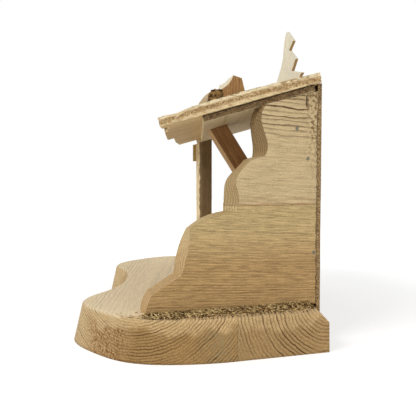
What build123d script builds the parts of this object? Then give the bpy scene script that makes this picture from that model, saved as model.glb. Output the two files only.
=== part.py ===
from build123d import *
import math
import os

# Wooden nativity stable: carved base, one splayed side wall, thin back panel, sloping board roof.
# Millimetres, +Z up, the open front faces -Y, origin at the bottom centre.

# Base: two glued boards, widest in front of the wall, leaning in towards the top
base_width = 338.0
base_taper = 27.0
base_depth = 197.0
base_height = 30.0
base_front_lean = 7.0
base_side_lean = 2.0
base_back_chamfer = 8.0
base_rim_chamfer = 1.5
base_rear_board_depth = 69.0
# Right half of the carved front edge, as shares of half the width and half the depth
base_edge_shares = (
    (0.973, 0.22),
    (1.0, -0.18),
    (0.965, -0.49),
    (0.835, -0.76),
    (0.69, -0.945),
    (0.555, -1.0),
    (0.34, -0.86),
)
base_bay_share = -0.76

# Back panel and the roof plane that everything under the roof is cut to
panel_thick = 3.0
panel_inset = 1.0
back_height = 165.9
roof_pitch = 15.7

# Right wall: two glued boards with a stepped, carved front edge
wall_thick = 20.0
wall_length = 136.5
wall_splay = 16.8
wall_set_in = 30.0
wall_seam_height = 77.5
wall_bevel = 4.0
toe_run = 5.0
toe_height = 14.5
slope_run = 26.0
slope_height = 26.8
step_run = 33.0
step_height = 62.5
step_swell = 2.3
tread_height = 73.0
riser_run = 69.5
riser_wave = 0.9
shoulder_run = 80.0
shoulder_height = 111.5
lobe_run = 91.8
lobe_foot_height = 115.0
lobe_swell = 2.5
lobe_height = 152.0
# Heights of the bends in the riser and in the lobe, as shares of their rise
riser_bend_shares = (0.3, 0.53, 0.75)
lobe_bend_shares = (0.2, 0.68)

# Rear rail, batten and posts
rail_depth = 8.5
rail_height = 15.5
batten_width = 14.0
batten_depth = 26.0
post_width = 16.0
post_depth = 18.0
post_chamfer = 7.0
post_socket = 4.0
post_inset = 3.0
post_front_set_back = 3.0
rear_post_depth = 16.0
cleat_width = 6.0
cleat_thick = 4.0
cleat_length = 20.0

# Roof: a thin underlay with thick boards on it
roof_overhang = 10.0
underlay_inset = 2.0
underlay_thick = 5.0
underlay_length = 88.5
underlay_gap = 3.5
board_thick = 9.2
board_tip = 7.0
board_back = 7.2
board_length = 127.5
board_back_overhang = 2.5
board_gap = 0.8
corner_length = 30.0
corner_width = 14.0
corner_depth = 5.1
corner_middle_share = 0.5
# Width of each board, and how far the corners of its front end stand back from the eave
board_width_shares = (0.074, 0.135, 0.168, 0.172, 0.221, 0.23)
eave_stagger = 6.0
eave_right_shares = (0.0, 1.0, 0.15, -0.1, 0.8, 0.7)
eave_left_shares = (0.1, 0.55, 0.0, -0.25, 0.75, 1.1)

# Stained roof prop, a brace from the panel up to the roof
prop_depth = 15.0
prop_width = 13.0
prop_lean = 32.0
prop_skew = 3.2
prop_outer_half = 37.0
prop_foot_height = 26.0

# Pieces lying on the roof
pole_half_width = 6.5
pole_half_height = 4.7
pole_flat = 0.5
pole_facets = 12
pole_inset = 8.0
pole_length = 40.0
pole_set_back = 48.0
# Bends of the pole along its length: place, sideways swing and girth
pole_shares = (
    (0.0, 0.1, 0.84),
    (0.25, -0.05, 0.96),
    (0.5, 0.08, 0.92),
    (0.8, 0.0, 1.02),
    (1.0, 0.0, 0.95),
)
billet_run = 17.0
billet_height = 13.5
billet_bulge = 2.2
billet_length = 42.0
billet_gap = 0.9
billet_end_gap = 2.7
stub_width = 16.0
stub_depth = 29.0
stub_height = 24.6
stub_set_back = 48.0
stub_drop = 2.6
stub_tilt = 21.0
stub_scoop_radius = 18.0
stub_scoop_turn = 19.0
stub_apex_share = 0.4
stub_shoulder_share = 0.66

# Fir tree cut-out, let into a slot in one roof board
tree_thick = 2.6
tree_height = 58.4
tree_turn = 10.0
tree_set_back = 6.0
tree_offset = 12.0
tree_reach = 39.5
tree_tenon_width = 12.0
tree_tenon_depth = 4.0
# Tier tips and the notches under them, then the plain side, as shares of the reach and the height
tree_tier_shares = (
    (0.435, 0.79),
    (0.165, 0.685),
    (0.615, 0.49),
    (0.355, 0.34),
    (1.0, 0.235),
)
tree_sweep_shares = (
    (-1.0, 0.12),
    (-0.69, 0.33),
    (-0.38, 0.525),
    (-0.29, 0.62),
    (-0.22, 0.79),
)

# Nails
brad_radius = 0.55
brad_head_radius = 1.3
brad_head_thick = 0.8
brad_length = 28.0
brad_shares = ((0.87, 0.823), (0.94, 0.684), (0.983, 0.243))
nail_length = 12.0
panel_nail_shares = (0.2, 0.8)
nail_clearance = 0.05

# Reach of the trimming solids, beyond every piece
reach = base_width + base_depth

base_back_half = base_width / 2 - base_taper
wall_back_half = base_back_half - wall_set_in
roof_half_width = wall_back_half + roof_overhang
underlay_half_width = roof_half_width - underlay_inset
pole_start = roof_half_width - pole_inset - pole_length
base_back = base_depth / 2
panel_back = base_back - panel_inset
panel_front = panel_back - panel_thick
slope = math.tan(math.radians(roof_pitch))


def underside(y):
    """Height of the roof plane over a place in the depth."""
    return base_height + back_height - (panel_front - y) * slope


def prism(points, low, high):
    """A depth-and-height outline drawn out across the width."""
    outline = make_face(Polyline(*points, close=True))
    return extrude(Plane.YZ.offset(low) * outline, high - low)


def upright(points, low, high):
    """A plan outline drawn up between two heights."""
    outline = make_face(Polyline(*points, close=True))
    return extrude(Plane.XY.offset(low) * outline, high - low)


roof_plane = Plane(
    origin=(0, panel_front, underside(panel_front)),
    x_dir=(1, 0, 0),
    z_dir=(0, -math.sin(math.radians(roof_pitch)), math.cos(math.radians(roof_pitch))),
)
board_plane = roof_plane.offset(underlay_thick)
top_plane = board_plane.offset(board_thick)
# Side view of the roof boards: up the slope, and up from their underside
slope_side = Plane(origin=board_plane.origin, x_dir=board_plane.y_dir, z_dir=board_plane.x_dir)

wall_dir = (-math.sin(math.radians(wall_splay)), math.cos(math.radians(wall_splay)))
wall_toe = (wall_back_half - wall_length * wall_dir[0], panel_front - wall_length * wall_dir[1])
wall_plane = Plane(
    origin=(wall_toe[0], wall_toe[1], base_height),
    x_dir=(wall_dir[0], wall_dir[1], 0),
    z_dir=(wall_dir[1], -wall_dir[0], 0),
)
inner_plane = wall_plane.offset(-wall_thick)

# Space under the roof plane, over the base and in front of the panel
under_roof = prism(
    (
        (-reach, base_height),
        (panel_front, base_height),
        (panel_front, underside(panel_front)),
        (-reach, underside(-reach)),
    ),
    -reach,
    reach,
)
inside_wall_face = extrude(wall_plane * Rectangle(reach * 2, reach * 2), -reach * 2)


def inner_face_x(y):
    """Where the wall's inner face stands at a place in the depth."""
    run = (y - inner_plane.origin.Y) / wall_dir[1]
    return inner_plane.origin.X + run * wall_dir[0]


def make_base():
    """Both base boards, from one carved slab sawn along the glue seam."""

    def slab_outline(half_width, half_depth, back_half):
        right = [(x * half_width, y * half_depth) for x, y in base_edge_shares]
        left = [(-x, y) for x, y in reversed(right)]
        carved = Spline(*right, (0, base_bay_share * half_depth), *left)
        sides = Polyline(left[-1], (-back_half, base_back), (back_half, base_back), right[0])
        return make_face([carved, sides])

    bottom = slab_outline(base_width / 2, base_depth / 2, base_back_half)
    top = slab_outline(
        base_width / 2 - base_side_lean,
        base_depth / 2 - base_front_lean,
        base_back_half - base_side_lean,
    )
    slab = loft([bottom, Plane.XY.offset(base_height) * top], ruled=True)
    carved_rim = slab.faces().sort_by(Axis.Z)[-1].edges().sort_by(Axis.Y)[0]
    slab = chamfer(carved_rim, base_rim_chamfer)
    slab -= prism(
        (
            (base_back - base_back_chamfer, base_height),
            (base_back, base_height - base_back_chamfer),
            (base_back, base_height),
        ),
        -reach,
        reach,
    )
    seam = base_back - base_rear_board_depth
    behind_seam = prism(((seam, 0), (reach, 0), (reach, base_height), (seam, base_height)), -reach, reach)
    return slab - behind_seam, slab & behind_seam


def wall_outlines(bevel):
    """Front edges of both wall boards; the bevel moves the upright stretches forward."""
    back = wall_length + wall_thick
    top = back_height + wall_thick
    toe = ThreePointArc((0, 0), (toe_run / 2, toe_height * 2 / 3), (toe_run, toe_height))
    corner = (slope_run, slope_height)
    step = (step_run + bevel * 2 / 3, step_height - bevel / 2)
    tread = (riser_run - bevel, tread_height)
    ramp = Line(toe @ 1, corner)
    front = Spline(
        corner,
        ((slope_run + step_run) / 2 + step_swell - bevel * 2 / 3, (slope_height + step_height) / 2),
        step,
    )
    over = Spline(step, ((step_run + riser_run) / 2, (step_height + tread_height * 2) / 3), tread)
    seam = (riser_run - bevel, wall_seam_height)
    low_back = Polyline(tread, seam, (back, wall_seam_height), (back, 0), (0, 0))
    lower = make_face([toe, ramp, front, over, low_back])
    shoulder = (shoulder_run + bevel * 3 / 4, shoulder_height + bevel / 3)
    lobe_foot = (lobe_run - bevel / 2, lobe_foot_height)
    lobe_top = (lobe_run, lobe_height)
    riser_runs = (
        riser_run + riser_wave - bevel,
        riser_run - riser_wave - bevel / 4,
        (riser_run * 3 + shoulder_run + bevel) / 4,
    )
    rise = shoulder_height - wall_seam_height
    bends = [(run, wall_seam_height + rise * share) for run, share in zip(riser_runs, riser_bend_shares)]
    riser = Spline(seam, *bends, shoulder)
    tread_line = Line(shoulder, lobe_foot)
    lobe_runs = (lobe_run + lobe_swell - bevel, lobe_run - lobe_swell - bevel / 4)
    rise = lobe_height - lobe_foot_height
    bends = [(run, lobe_foot_height + rise * share) for run, share in zip(lobe_runs, lobe_bend_shares)]
    lobe = Spline(lobe_foot, *bends, lobe_top)
    high_back = Polyline(lobe_top, (lobe_run, top), (back, top), (back, wall_seam_height), seam)
    upper = make_face([riser, tread_line, lobe, high_back])
    return lower, upper


def make_wall():
    """Lower and upper wall boards, trimmed to the roof, the panel and the rail's notch."""
    outer = wall_outlines(0)
    inner = wall_outlines(wall_bevel)
    boards = []
    for outer_face, inner_face in zip(outer, inner):
        board = loft([inner_plane * inner_face, wall_plane * outer_face], ruled=True)
        boards.append(board & under_roof)
    return boards


def make_rail():
    """Rear top rail, its right end sawn flush with the wall's outer face."""
    rail_front = panel_front - rail_depth
    bottom = underside(panel_front) - rail_height
    rail = prism(
        (
            (rail_front, bottom),
            (panel_front, bottom),
            (panel_front, underside(panel_front)),
            (rail_front, underside(rail_front)),
        ),
        -roof_half_width + post_inset,
        reach,
    )
    return rail & inside_wall_face


def make_batten():
    """Corner block between the wall, the panel and the rail."""
    front = panel_front - batten_depth
    plan = (
        (inner_face_x(panel_front), panel_front),
        (inner_face_x(front), front),
        (inner_face_x(front) - batten_width, front),
        (inner_face_x(panel_front) - batten_width, panel_front),
    )
    return upright(plan, base_height, underside(panel_front) - rail_height)


post_left = -roof_half_width + post_inset
post_right = post_left + post_width
post_front = panel_front - underlay_gap - underlay_length - post_front_set_back
post_back = post_front + post_depth


def make_front_post():
    """Hewn front post with one broad chamfer, its foot let into the base."""
    plan = (
        (post_left, post_front),
        (post_right - post_chamfer, post_front),
        (post_right, post_front + post_chamfer),
        (post_right, post_back),
        (post_left, post_back),
    )
    post = upright(plan, base_height - post_socket, underside(post_back))
    foot = upright(plan, base_height - post_socket, base_height)
    return (post & under_roof) + foot, foot


def make_cleat():
    """Short strip nailed on the post's front, close under the roof boards."""
    plan = (
        (post_left, post_front - cleat_thick),
        (post_left + cleat_width, post_front - cleat_thick),
        (post_left + cleat_width, post_front),
        (post_left, post_front),
    )
    top = underside(post_front)
    return upright(plan, top - cleat_length, top) & under_roof


def make_rear_post():
    """Rear post, notched for the rail."""
    front = panel_front - rear_post_depth
    plan = (
        (post_left, front),
        (post_right, front),
        (post_right, panel_front),
        (post_left, panel_front),
    )
    return upright(plan, base_height, underside(panel_front)) & under_roof


def make_panel():
    """Thin panel, bevelled to the base's back chamfer and to the roof boards."""
    foot_front = base_height - (panel_front - base_back + base_back_chamfer)
    foot_back = base_height - (panel_back - base_back + base_back_chamfer)
    rise = underlay_thick / math.cos(math.radians(roof_pitch))
    return prism(
        (
            (panel_front, foot_front),
            (panel_back, foot_back),
            (panel_back, underside(panel_back) + rise),
            (panel_front, underside(panel_front) + rise),
        ),
        post_left,
        wall_back_half,
    )


def make_underlay():
    """Thin roof board lying on the wall, the rail, the prop and the posts."""
    back = -underlay_gap
    outline = Polyline(
        (-underlay_half_width, back),
        (underlay_half_width, back),
        (underlay_half_width, back - underlay_length),
        (-underlay_half_width, back - underlay_length),
        close=True,
    )
    return extrude(roof_plane * make_face(outline), underlay_thick)


def eave_run(set_back):
    """A place up the slope, counted from the eave."""
    return board_back_overhang - board_length + set_back


def make_over_boards():
    """Space over the boards' crowned top, from the eave to the back and beyond."""
    crown = ThreePointArc(
        (eave_run(-eave_stagger), board_tip),
        (eave_run(board_length / 2), board_thick),
        (board_back_overhang, board_back),
    )
    sides = Polyline(
        crown @ 1,
        (reach, board_back),
        (reach, reach),
        (-reach, reach),
        (-reach, board_tip),
        crown @ 0,
    )
    return extrude(slope_side * make_face([crown, sides]), reach, both=True)


over_boards = make_over_boards()


def board_edges():
    """Right and left edge of each roof board, from the wall's side over."""
    edges = []
    right = roof_half_width
    for share in board_width_shares:
        left = right - share * roof_half_width * 2
        edges.append((right, left + board_gap))
        right = left
    return edges


def make_board(index):
    """One roof board: skewed front end, thickest in the middle of its length."""
    right, left = board_edges()[index]
    outline = Polyline(
        (left, board_back_overhang),
        (right, board_back_overhang),
        (right, eave_run(eave_stagger * eave_right_shares[index])),
        (left, eave_run(eave_stagger * eave_left_shares[index])),
        close=True,
    )
    return extrude(board_plane * make_face(outline), board_thick) - over_boards


def cut_corner(board):
    """Hews a facet off the outer front corner of the first board's top."""
    middle = eave_run(corner_length * corner_middle_share)
    outline = Polyline(
        (roof_half_width, eave_run(0)),
        (roof_half_width, eave_run(corner_length)),
        (roof_half_width - corner_width, middle),
        close=True,
    )
    apex = top_plane * Pos(roof_half_width, middle, -corner_depth) * Vertex(0, 0, 0)
    facet = make_face(top_plane * outline)
    points = [vertex.center() for vertex in facet.vertices()]
    sides = [
        make_face(Polyline(points[i], points[(i + 1) % 3], apex.center(), close=True)) for i in range(3)
    ]
    return board - Solid(Shell([facet, *sides]))


def make_prop():
    """Leaning brace: plumb cut against the panel, top cut to the roof."""
    lean = math.tan(math.radians(prop_lean))
    half = prop_depth / math.cos(math.radians(prop_lean)) / 2
    foot = panel_front + prop_foot_height * lean
    rise = back_height + wall_thick
    near_side = Polyline(
        (foot - half, base_height),
        (foot + half, base_height),
        (foot + half - rise * lean, base_height + rise),
        (foot - half - rise * lean, base_height + rise),
        close=True,
    )
    near_face = Plane.YZ.offset(prop_outer_half) * make_face(near_side)
    across = (-prop_width, -prop_skew, 0)
    return extrude(near_face, math.hypot(prop_width, prop_skew), dir=across) & under_roof


def make_pole():
    """Short, crooked length of bark pole, flattened where it lies on the boards."""
    turns = [math.radians(step * 360 / pole_facets) for step in range(pole_facets)]
    sections = []
    for place, swing, girth in pole_shares:
        section = Plane(
            origin=(
                pole_start + pole_length * place,
                eave_run(pole_set_back) + swing * pole_half_width,
                pole_half_height - pole_flat,
            ),
            x_dir=(0, 1, 0),
            z_dir=(1, 0, 0),
        )
        ring = [
            (pole_half_width * girth * math.cos(turn), pole_half_height * girth * math.sin(turn))
            for turn in turns
        ]
        sections.append(section * make_face(Polyline(*ring, close=True)))
    return (top_plane.location * loft(sections, ruled=True)) & over_boards


def make_billet():
    """Wedge split off a log, lying on the boards in front of the stub."""
    back = eave_run(stub_set_back - billet_gap)
    front = back - billet_run
    bulge = SagittaArc((front, board_thick), (back, board_thick + billet_height), billet_bulge)
    sides = Polyline(bulge @ 1, (back, board_tip), (front, board_tip), bulge @ 0)
    section = make_face([bulge, sides])
    right = pole_start - billet_end_gap
    return extrude(slope_side.offset(right) * section, -billet_length) & over_boards


def make_stub():
    """Hewn stub of a timber with its top scooped at a slant, standing on the third board."""
    right, left = board_edges()[2]
    middle = (right + left) / 2
    front = (roof_plane * Pos(0, eave_run(stub_set_back), 0)).position.Y
    foot = underside(front)
    apex = front + stub_depth * stub_apex_share
    top = underside(apex) + (underlay_thick + board_thick) / math.cos(math.radians(roof_pitch)) + stub_height
    stub = prism(
        (
            (front, foot),
            (front + stub_depth, foot),
            (front + stub_depth * stub_shoulder_share, top - stub_drop),
            (apex, top),
            (front, top),
        ),
        middle - stub_width / 2,
        middle + stub_width / 2,
    )
    turn = math.radians(stub_scoop_turn)
    scoop_plane = Plane(
        origin=(
            middle + stub_width / 2,
            apex - stub_scoop_radius * math.cos(turn),
            top + stub_scoop_radius * math.sin(turn),
        ),
        z_dir=(-1, 0, math.tan(math.radians(stub_tilt))),
    )
    stub -= extrude(scoop_plane * Circle(stub_scoop_radius), stub_width * 2, both=True)
    return stub & over_boards


def make_tree():
    """Fir tree plate, tiered on one side, with a tenon, and the slot its tenon fits."""
    right, left = board_edges()[3]
    back_plane = board_plane.offset(board_back)
    stand = back_plane * Pos((right + left) / 2 + tree_offset, -tree_set_back, 0)
    plate_plane = Plane(
        origin=stand.position,
        x_dir=(math.cos(math.radians(tree_turn)), math.sin(math.radians(tree_turn)), 0),
        z_dir=(math.sin(math.radians(tree_turn)), -math.cos(math.radians(tree_turn)), 0),
    )
    tip = (0, tree_height)
    tiers = [(x * tree_reach, z * tree_height) for x, z in tree_tier_shares]
    sweep = [(x * tree_reach, z * tree_height) for x, z in tree_sweep_shares]
    foot = tree_tenon_depth * 2
    trunk = tree_tenon_width
    tiered = Polyline(tip, *tiers, (trunk, 0), (trunk, -foot), (-trunk, -foot), (-trunk, 0), sweep[0])
    outline = make_face([tiered, Spline(*sweep, tip)])
    plate = extrude(plate_plane * outline, tree_thick / 2, both=True) & over_boards
    tenon_face = plate_plane * Rectangle(tree_tenon_width, foot)
    tenon = extrude(tenon_face, tree_thick / 2, both=True)
    slot_floor = extrude(back_plane.offset(-tree_tenon_depth) * Rectangle(reach * 2, reach * 2), reach)
    tenon = (tenon & slot_floor) - over_boards
    return plate + tenon, tenon


def nail_at(plane, length, clearance):
    """A nail driven along the plane's normal, its head flush with the plane."""
    shank = extrude(plane * Circle(brad_radius + clearance), -length - clearance)
    head = extrude(plane * Circle(brad_head_radius + clearance), -brad_head_thick - clearance)
    return shank + head


def wall_nails(clearance):
    """Brads through the wall into the corner batten."""
    nails = []
    for run, rise in brad_shares:
        spot = wall_plane * Pos(run * wall_length, rise * back_height, 0)
        nails.append(nail_at(Plane(spot), brad_length, clearance))
    return nails


def panel_nails(clearance):
    """Nails from behind into the batten, the rear post and the rail."""
    rail_middle = underside(panel_front) - rail_height / 2
    batten_middle = inner_face_x(panel_front) - batten_width / 2
    post_middle = (post_left + post_right) / 2
    foot = base_height
    rise = back_height - rail_height
    spots = [(batten_middle, foot + share * rise) for share in panel_nail_shares]
    spots += [(post_middle, foot + share * rise) for share in panel_nail_shares]
    spots += [(post_right + share * (batten_middle - post_right), rail_middle) for share in panel_nail_shares]
    nails = []
    for x, z in spots:
        back = Plane(origin=(x, panel_back, z), x_dir=(1, 0, 0), z_dir=(0, 1, 0))
        nails.append(nail_at(back, nail_length, clearance))
    return nails


def cut_all(solid, tools):
    """Takes every tool that reaches the solid out of it."""
    for tool in tools:
        solid = solid - tool
    return solid


parts = {}
base_front, base_rear = make_base()
rail = make_rail()
front_post, post_foot = make_front_post()
lower_wall, upper_wall = make_wall()
brad_holes = wall_nails(nail_clearance)
nail_holes = panel_nails(nail_clearance)
tree, tree_slot = make_tree()

parts["base_front_board"] = base_front - post_foot
parts["base_rear_board"] = base_rear
parts["right_wall_lower_board"] = cut_all(lower_wall, brad_holes)
parts["right_wall_upper_board"] = cut_all(upper_wall - rail, brad_holes)
parts["right_corner_batten"] = cut_all(make_batten(), brad_holes + nail_holes)
parts["rear_top_rail"] = cut_all(rail, nail_holes)
parts["back_panel"] = cut_all(make_panel(), nail_holes)
parts["rear_left_post"] = cut_all(make_rear_post() - rail, nail_holes)
parts["front_left_post"] = front_post
parts["post_cleat"] = make_cleat()
parts["roof_prop"] = make_prop()
parts["roof_underlay"] = make_underlay()
for board_index in range(len(board_width_shares)):
    parts[f"roof_board_{board_index + 1}"] = make_board(board_index)
parts["roof_board_1"] = cut_corner(parts["roof_board_1"])
parts["roof_board_4"] = parts["roof_board_4"] - tree_slot
parts["bark_pole"] = make_pole()
parts["split_billet"] = make_billet()
parts["roof_stub"] = make_stub()
parts["fir_tree"] = tree
parts["wall_brads"] = Compound(children=wall_nails(0))
parts["panel_nails"] = Compound(children=panel_nails(0))

# Origin at the bottom centre of the whole stable
whole = Compound(children=[Part(part.wrapped) for part in parts.values()]).bounding_box()
to_origin = Pos(-whole.center().X, -whole.center().Y, -whole.min.Z)

os.makedirs("parts", exist_ok=True)
for name, part in parts.items():
    export_step(to_origin * part, f"parts/{name}.step")
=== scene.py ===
import math
import random

import bmesh
import bpy
from mathutils import Matrix, Vector, noise
from mathutils.bvhtree import BVHTree


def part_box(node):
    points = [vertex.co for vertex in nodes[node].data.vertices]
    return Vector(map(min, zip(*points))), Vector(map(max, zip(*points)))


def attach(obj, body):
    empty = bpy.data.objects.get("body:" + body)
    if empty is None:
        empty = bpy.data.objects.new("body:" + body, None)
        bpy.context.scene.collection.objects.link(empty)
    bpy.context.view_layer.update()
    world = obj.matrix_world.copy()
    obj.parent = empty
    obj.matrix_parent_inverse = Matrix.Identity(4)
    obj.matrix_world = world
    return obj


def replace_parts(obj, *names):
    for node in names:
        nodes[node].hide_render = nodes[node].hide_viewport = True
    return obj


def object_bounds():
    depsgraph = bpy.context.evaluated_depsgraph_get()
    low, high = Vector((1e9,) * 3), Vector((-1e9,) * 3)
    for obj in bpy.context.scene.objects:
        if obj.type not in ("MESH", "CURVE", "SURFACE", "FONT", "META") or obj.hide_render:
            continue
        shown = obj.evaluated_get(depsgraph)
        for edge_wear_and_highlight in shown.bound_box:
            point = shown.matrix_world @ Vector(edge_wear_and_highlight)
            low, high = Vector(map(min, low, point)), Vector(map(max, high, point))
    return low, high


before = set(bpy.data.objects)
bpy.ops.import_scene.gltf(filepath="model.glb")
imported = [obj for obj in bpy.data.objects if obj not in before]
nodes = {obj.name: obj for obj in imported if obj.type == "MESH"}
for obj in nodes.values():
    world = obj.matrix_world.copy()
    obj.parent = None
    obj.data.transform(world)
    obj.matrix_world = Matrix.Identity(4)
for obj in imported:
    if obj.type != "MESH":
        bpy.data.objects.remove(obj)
cad_low, cad_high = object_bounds()


def srgb(red, green, blue):
    """A colour given in sRGB levels, made linear."""
    linear = []
    for level in (red, green, blue):
        share = level / 255
        linear.append(share / 12.92 if share <= 0.04045 else ((share + 0.055) / 1.055) ** 2.4)
    return (*linear, 1.0)


# Lengths are in metres, the small ones written in millimetres times MM
# Bands and lines are written as start, end and softness
MM = 0.001

# Camera: angles in pixels of the 416 x 416 picture, place in the part's frame, sensor in millimetres
IMAGE_PIXELS = 416
FOCAL_PIXELS = 560
DROP_PIXELS = 28
SWING_PIXELS = 10
SENSOR_WIDTH = 36.0
CAMERA_PLACE = Vector((548 * MM, 1.5 * MM, 127 * MM))

# Light and floor
WHITE = (1, 1, 1, 1)
WORLD_STRENGTH = 0.62
WORLD_SEEN_STRENGTH = 1.0
FLOOR_SIZE = 6.0
FLOOR_TONE = 0.85
FLOOR_SEEN_TONE = 0.55
FLOOR_NEAR = 250 * MM
FLOOR_FAR = 800 * MM
FLOOR_NEAR_GLOW = 0.57
FLOOR_FAR_GLOW = 0.95
KEY_PLACE = Vector((1.1, -1.2, 1.5))
KEY_SIZE = 1.1
KEY_POWER = 18.5
FILL_PLACE = Vector((1.3, 1.2, 0.5))
FILL_SIZE = 1.2
FILL_POWER = 7.0

# Sockets that a Mix node has for colours
MIX_FACTOR = 0
MIX_FIRST = 6
MIX_SECOND = 7
MIX_RESULT = 2

# Noise: the range that most of its values fill, its counts of octaves and its roughness
NOISE_LOW = 0.3
NOISE_HIGH = 0.7
FEW = 2.0
SOME = 3.0
MANY = 4.0
EVEN = 0.55
RIDGED = 0.65
ROUGH = 0.7
ROUGHER = 0.75

# Cosines of a face's direction where a tint starts and where it is full
LOOKS_TOWARD = (0.4, 0.7)
LOOKS_STRAIGHT = (0.6, 0.9)
LOOKS_AWAY = (-0.5, -0.8)

# Wood of every piece
RING_GAP = 3.0 * MM
RING_WAVER = 2.6 * MM
RING_STOPS = ((0.0, 0.0), (0.5, 0.1), (0.78, 0.75), (0.9, 1.0), (1.0, 0.0))
FAINT_RING_SHARE = 0.35
FAINT_CONTRAST = 0.4
WAVER_SIZE = 40 * MM
RIPPLE_SIZE = 7 * MM
PATCH_SIZE = 22 * MM
PATCH_LEVELS = (0.35, 0.6)
PATCH_SHARES = (0.4, 1.0)
FIBRE_SIZE = 0.8 * MM
PORE_SIZE = 0.75 * MM
PORE_LEVELS = (0.55, 0.66)
PORE_SHARE = 0.65
BROAD_SIZE = 55 * MM
BROAD_SHARE = 0.07
GRIT_SIZE = 0.8 * MM
GRIT_SHARE = 0.14
ALONG_SHARE = 0.1
RIPPLE_SHARE = 0.35
FIBRE_SHARE = 0.06
END_COSINES = (0.45, 0.9)
CORNER_COSINES = (0.99, 0.8)
LATE_RELIEF_SHARE = -0.4
ARRIS = 0.7 * MM
BEVEL_SAMPLES = 6
FINE_BEVEL_SAMPLES = 4
BUMP_DEPTH = 0.5 * MM
GLOSS_LEVELS = (0.2, 0.8)
WOOD_ROUGHNESS = (0.78, 0.6)

# Sizes that the solids share
BOARD_COUNT = 6
BOARD_THICK = 9.2 * MM
BOARD_LENGTH = 127.5 * MM
BOARD_CROWN = 2.1 * MM
UNDERLAY_THICK = 5.0 * MM
WALL_THICK = 20.0 * MM
WALL_LENGTH = 136.5 * MM

# Directions
ACROSS = Vector((1, 0, 0))
UPWARD = Vector((0, 0, 1))
FRONTWARD = Vector((0, -1, 0))
WALL_SPLAY = math.radians(16.8)
WALL_RUN = Vector((-math.sin(WALL_SPLAY), math.cos(WALL_SPLAY), 0))
WALL_OUT = Vector((math.cos(WALL_SPLAY), math.sin(WALL_SPLAY), 0))
GRAIN_DIP = math.radians(3.0)
WALL_GRAIN = WALL_RUN * math.cos(GRAIN_DIP) - UPWARD * math.sin(GRAIN_DIP)
ROOF_PITCH = math.radians(15.7)
SLOPE_RUN = Vector((0, math.cos(ROOF_PITCH), math.sin(ROOF_PITCH)))
SLOPE_OUT = Vector((0, -math.sin(ROOF_PITCH), math.cos(ROOF_PITCH)))
PROP_LEAN = math.radians(32.0)
PROP_RUN = Vector((0, -math.sin(PROP_LEAN), math.cos(PROP_LEAN)))
STUB_CUT_OUT = Vector((0.3, -0.65, 0.7)).normalized()
TREE_TEETH_OUT = Vector((0.75, 0, -0.65)).normalized()

# Places that the pieces share
WALL_LOW, WALL_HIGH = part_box("right_wall_lower_board")
BASE_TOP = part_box("base_front_board")[1].z
WALL_TOE = Vector((WALL_HIGH.x, WALL_LOW.y + WALL_OUT.y * WALL_THICK, BASE_TOP))
SEAM_HEIGHT = WALL_HIGH.z
UNDERLAY_LOW, UNDERLAY_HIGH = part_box("roof_underlay")
BOARD_FOOT = Vector((0, UNDERLAY_HIGH.y + SLOPE_OUT.y * UNDERLAY_THICK, UNDERLAY_HIGH.z))
UNDERLAY_FOOT = BOARD_FOOT - SLOPE_OUT * UNDERLAY_THICK
PANEL_FRONT = Vector((0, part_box("back_panel")[0].y, 0))
RAIL_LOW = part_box("rear_top_rail")[0]
POST_LOW, POST_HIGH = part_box("front_left_post")
BILLET_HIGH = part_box("split_billet")[1]

# Base: rings, browner lower sides, front faces paler as painted light, a rough and a stained patch, cream
# top
BASE_TONES = (srgb(200, 168, 118), srgb(92, 62, 30))
BASE_CONTRAST = 1.3
BASE_END_TONE = 1.02
BASE_ARRIS = 4.0 * MM
BASE_FRONT_PITH = Vector((0, -44 * MM, 72 * MM))
BASE_FRONT_RING = 2.05 * MM
BASE_FRONT_LOW_SHARES = (0.66, 0.58, 0.46)
BASE_REAR_PITH = Vector((0, 99 * MM, 37 * MM))
BASE_REAR_RING = 2.6 * MM
BASE_REAR_LOW_SHARES = (0.74, 0.69, 0.62)
BASE_WOBBLE_SIZE = 16 * MM
BASE_WOBBLE = 5 * MM
BASE_RIM_DEPTH = 6 * MM
BASE_LOW_DEPTH = 11 * MM
BASE_SIDE_COSINES = (0.75, 0.5)
BASE_BROWN_COSINES = (0.75, 0.35)
FRONT_LIGHT_COSINES = (0.35, 0.85)
FRONT_LIGHT_SHARES = (1.12, 1.18, 1.3)
BASE_SPECK_SIZE = 1.8 * MM
ROUGH_BAND = (-80 * MM, -48 * MM, 6 * MM)
ROUGH_LEVELS = (0.38, 0.58)
ROUGH_TONE = srgb(150, 108, 60)
ROUGH_TONE_LEVELS = (0.45, 0.7)
ROUGH_TONE_SHARES = (1.25, 0.4)
STAIN_BAND = (6 * MM, 26 * MM, 8 * MM)
STAIN_LEVELS = (0.4, 0.6)
STAIN_SHARE = 0.6
STAIN_TONE = srgb(150, 136, 100)
CREAM_COSINES = (0.6, 0.95)
CREAM_FADE = 4 * MM
CREAM_OUTSIDE_SHARE = 0.2
CREAM_TONE = srgb(240, 224, 190)
CREAM_TONE_SHARE = 0.55
CREAM_SHARES = (1.3, 1.42, 1.7)

# Broken fibres, and the dark joint along the back panel
SPLINTER_SIZE = 2.3 * MM
SPLINTER_LEVELS = (0.45, 0.6)
SPLINTER_TONES = (srgb(206, 182, 138), srgb(116, 88, 54))
JOINT_DARK = srgb(72, 52, 32)
JOINT_SHARE = 0.75
JOINT_DEPTHS = (-1.1 * MM, -0.5 * MM)
JOINT_SIZE = 3 * MM
JOINT_RAGGED = 0.5 * MM

# Both wall boards: lines on the carved front
CARVED_COSINES = (-0.2, -0.6)
CARVED_BEND_SIZE = 30 * MM
CARVED_BEND = 14 * MM
CARVED_SLANT = 0.25
CARVED_GAP = 3.3 * MM
CARVED_LEVELS = (0.28, 0.45)
CARVED_SHARES = (1.06, 0.66)
WALL_EDGE = -0.3
WALL_END_TONE = 1.0

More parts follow.
